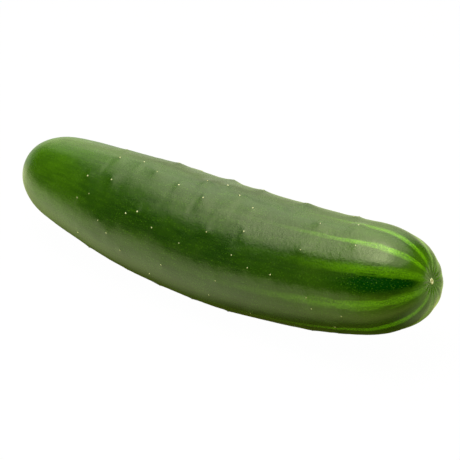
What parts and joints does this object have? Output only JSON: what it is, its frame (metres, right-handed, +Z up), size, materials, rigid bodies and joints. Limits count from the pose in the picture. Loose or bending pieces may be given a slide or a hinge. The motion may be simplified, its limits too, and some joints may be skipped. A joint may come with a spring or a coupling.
{
  "type": "cucumber",
  "caption": "Whole slicing cucumber lying on its belly: long, slightly bowed green fruit with blunt ends, low spiny humps, pale stripes from the blossom end and a dry stem stub.",
  "frame": {"origin": "middle of the fruit's outline seen from above, on the surface it rests on", "axes": "+X along the fruit toward the blossom end, +Z up from the surface it rests on"},
  "size_m": [0.208, 0.0526, 0.0548],
  "materials": {
    "skin": "satin",
    "spine_tip": "satin",
    "blossom_scar": "matte",
    "stem_stub": "matte"
  },
  "bodies": {
    "root": {"cucumber": "skin"}
  },
  "joints": []
}
